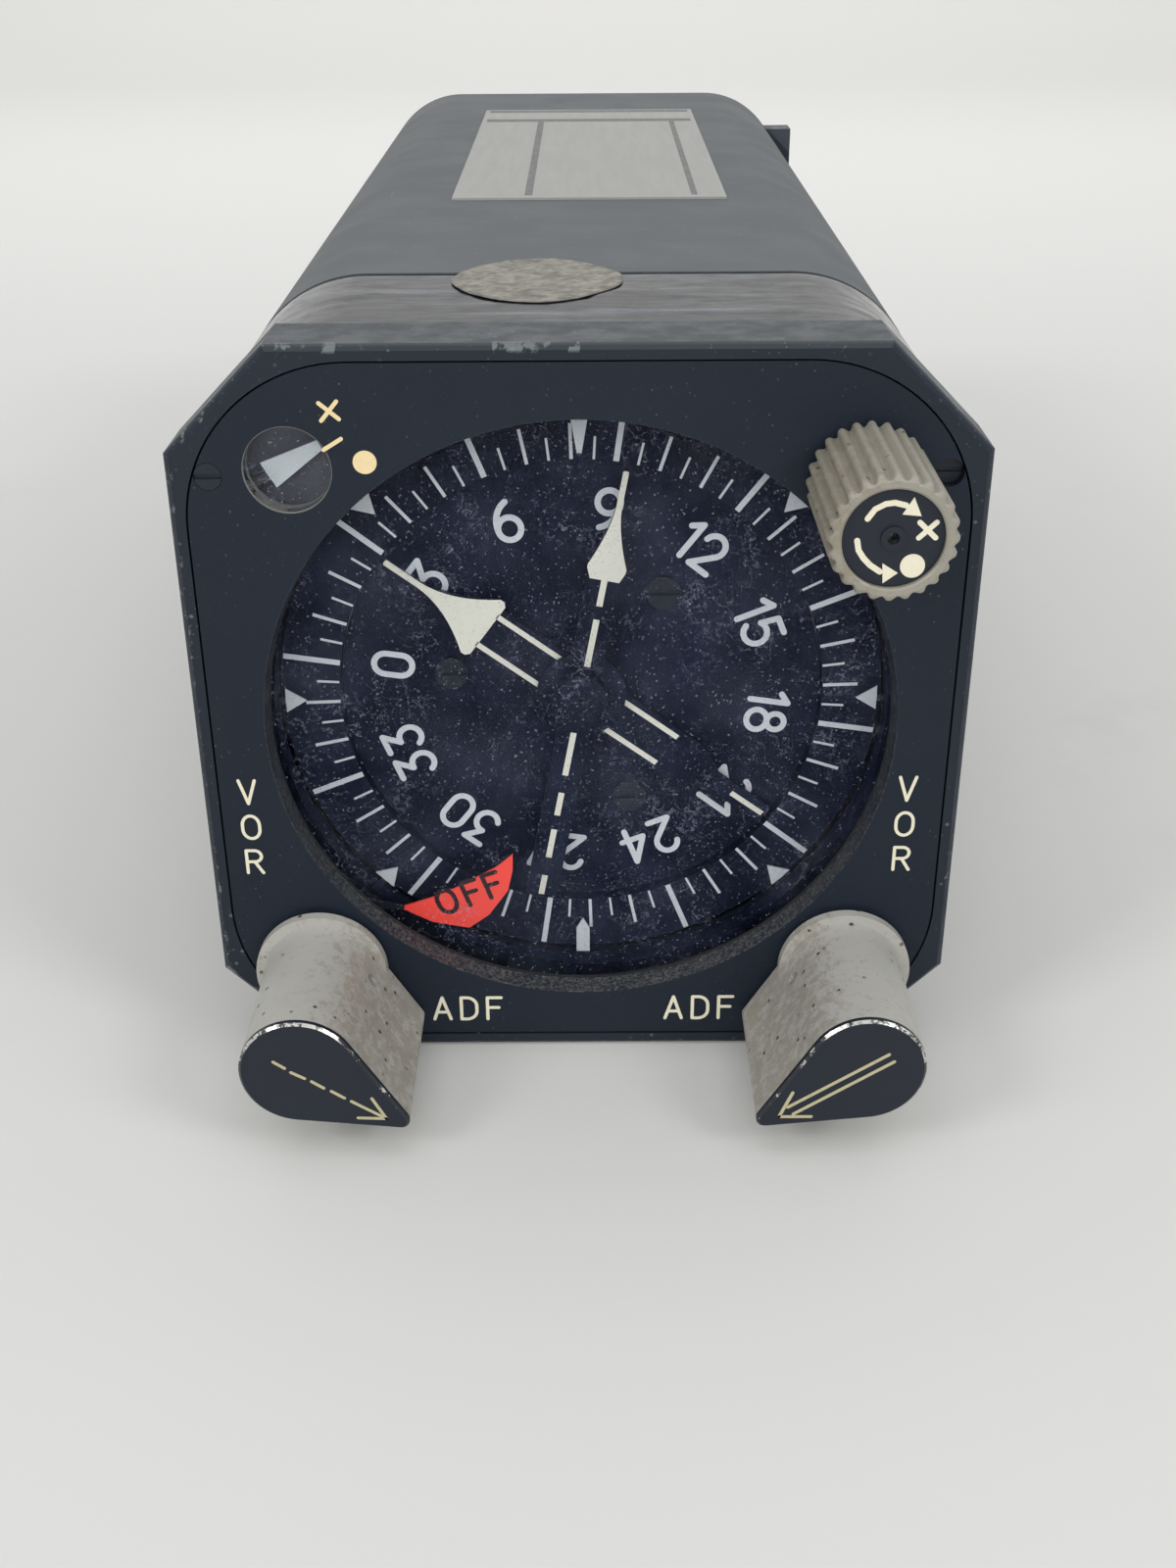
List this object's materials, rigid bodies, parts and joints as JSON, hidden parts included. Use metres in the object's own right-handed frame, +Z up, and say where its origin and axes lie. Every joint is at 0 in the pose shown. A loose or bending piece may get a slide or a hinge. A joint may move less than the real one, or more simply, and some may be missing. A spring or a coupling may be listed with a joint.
{
  "type": "radio magnetic indicator",
  "caption": "Panel-mounted aircraft heading repeater: rotating compass card, two bearing pointers, OFF flag, annunciator and three knobs in a long sealed case.",
  "frame": {"origin": "on the resting surface, below the middle of the instrument's length and width", "axes": "+X to the pilot's right, +Y from the dial back along the case to the connector, +Z up"},
  "size_m": [0.0828, 0.2494, 0.0828],
  "materials": {
    "bezel_paint": "satin black paint, dusty and scuffed",
    "plate_paint": "matte black paint, dusty",
    "screw_black": "blackened steel, worn slots",
    "screw_zinc": "zinc-plated steel",
    "window_glass": "clear",
    "gasket_rubber": "matte",
    "ring_black": "matte black",
    "mark_white": "matte off-white",
    "card_paint": "matte blue-black, fine dust",
    "needle_white": "matte pale grey",
    "flag_red": "matte signal red",
    "tape_black": "glossy black tape",
    "cover_paint": "matte dark grey",
    "seal_film": "printed film",
    "label_film": "printed foil",
    "machined_aluminium": "machined",
    "connector_metal": "olive plating",
    "insert_rubber": "moulded black",
    "gear_brass": "machined",
    "shaft_steel": "ground",
    "can_steel": "drawn cans",
    "rotor_dark": "lamination stack",
    "board_green": "coated circuit board",
    "knob_grey": "light grey paint worn at the edges",
    "knob_face": "black paint chipped at the edges",
    "pointer_paint": "matte black with cream bars"
  },
  "bodies": {
    "case": {"annunciator_movement": "can_steel", "annunciator_window": "window_glass", "bezel_frame": "bezel_paint", "circuit_boards": "board_green", "connector_insert": "insert_rubber", "control_bushings": "machined_aluminium", "corner_block": "bezel_paint", "dust_cover": "cover_paint", "flag_movement": "can_steel", "front_mechanism_plate": "machined_aluminium", "front_plate": "plate_paint", "gear_plate": "machined_aluminium", "glass_retainer": "ring_black", "heading_stator": "can_steel", "hub_bearings": "shaft_steel", "index_marks": "mark_white", "index_ring": "ring_black", "label_plate": "label_film", "narrow_pointer_stator": "can_steel", "oval_seal": "seal_film", "plate_screws": "screw_black", "rear_connector": "connector_metal", "rear_plate": "cover_paint", "rear_screws": "screw_zinc", "seal_tape": "tape_black", "selector_switches": "can_steel", "servo_motor": "can_steel", "spacer_tubes": "machined_aluminium", "sync_control": "can_steel", "synchro_plates": "machined_aluminium", "tie_rods": "shaft_steel", "wide_pointer_stator": "can_steel", "window_gasket": "gasket_rubber", "window_glass": "window_glass"},
    "card": {"card_ring": "card_paint", "number_disc": "card_paint", "card_screws": "screw_black", "card_hub": "machined_aluminium", "card_gear": "gear_brass", "heading_rotor": "rotor_dark"},
    "idler": {"idler_gear": "gear_brass"},
    "motor": {"motor_pinion": "gear_brass"},
    "wide_pointer_body": {"wide_pointer": "pointer_paint", "wide_pointer_tube": "shaft_steel", "wide_pointer_rotor": "rotor_dark"},
    "narrow_pointer_body": {"narrow_pointer": "pointer_paint", "narrow_pointer_shaft": "shaft_steel", "narrow_pointer_rotor": "rotor_dark", "hub_cap": "knob_face"},
    "sync_knob_body": {"sync_knob": "knob_grey", "sync_knob_disc": "knob_face", "sync_shaft": "shaft_steel"},
    "left_selector": {"left_selector_knob": "knob_grey", "left_selector_cap": "knob_face", "left_selector_shaft": "shaft_steel"},
    "right_selector": {"right_selector_knob": "knob_grey", "right_selector_cap": "knob_face", "right_selector_shaft": "shaft_steel"},
    "flag": {"off_flag": "flag_red"},
    "annunciator": {"annunciator_needle": "needle_white"}
  },
  "joints": [
    {"name": "card_turn", "type": "hinge", "parent": "case", "child": "card", "pos_m": [0, -0.07427, 0.0414], "axis": [0, 1, 0], "continuous": true},
    {"name": "idler_turn", "type": "hinge", "parent": "case", "child": "idler", "pos_m": [0.01097, -0.07427, 0.01564], "axis": [0, 1, 0], "continuous": true},
    {"name": "motor_turn", "type": "hinge", "parent": "case", "child": "motor", "pos_m": [0, -0.06927, 0.0134], "axis": [0, 1, 0], "continuous": true},
    {"name": "wide_pointer_turn", "type": "hinge", "parent": "case", "child": "wide_pointer_body", "pos_m": [0, -0.02327, 0.0414], "axis": [0, 1, 0], "continuous": true},
    {"name": "narrow_pointer_turn", "type": "hinge", "parent": "case", "child": "narrow_pointer_body", "pos_m": [0, 0.00873, 0.0414], "axis": [0, 1, 0], "continuous": true},
    {"name": "sync_knob_turn", "type": "hinge", "parent": "case", "child": "sync_knob_body", "pos_m": [0.0287, -0.10427, 0.06925], "axis": [0, 1, 0], "continuous": true},
    {"name": "left_selector_turn", "type": "hinge", "parent": "case", "child": "left_selector", "pos_m": [-0.02984, -0.10427, 0.0114], "axis": [0, -1, 0], "range_deg": [0, 135]},
    {"name": "right_selector_turn", "type": "hinge", "parent": "case", "child": "right_selector", "pos_m": [0.02984, -0.10427, 0.0114], "axis": [0, 1, 0], "range_deg": [0, 135]},
    {"name": "flag_swing", "type": "hinge", "parent": "case", "child": "flag", "pos_m": [-0.027, -0.09827, 0.0164], "axis": [0, 1, 0], "range_deg": [0, 44], "stiffness_Nm_per_rad": 0.0002, "springref_deg": -11.46},
    {"name": "annunciator_swing", "type": "hinge", "parent": "case", "child": "annunciator", "pos_m": [-0.03345, -0.10127, 0.0678], "axis": [0, 1, 0], "range_deg": [-22, 22], "stiffness_Nm_per_rad": 0.0001}
  ],
  "couplings": [
    {"joint": "idler_turn", "follows": "card_turn", "ratio": -6},
    {"joint": "motor_turn", "follows": "card_turn", "ratio": 15}
  ]
}
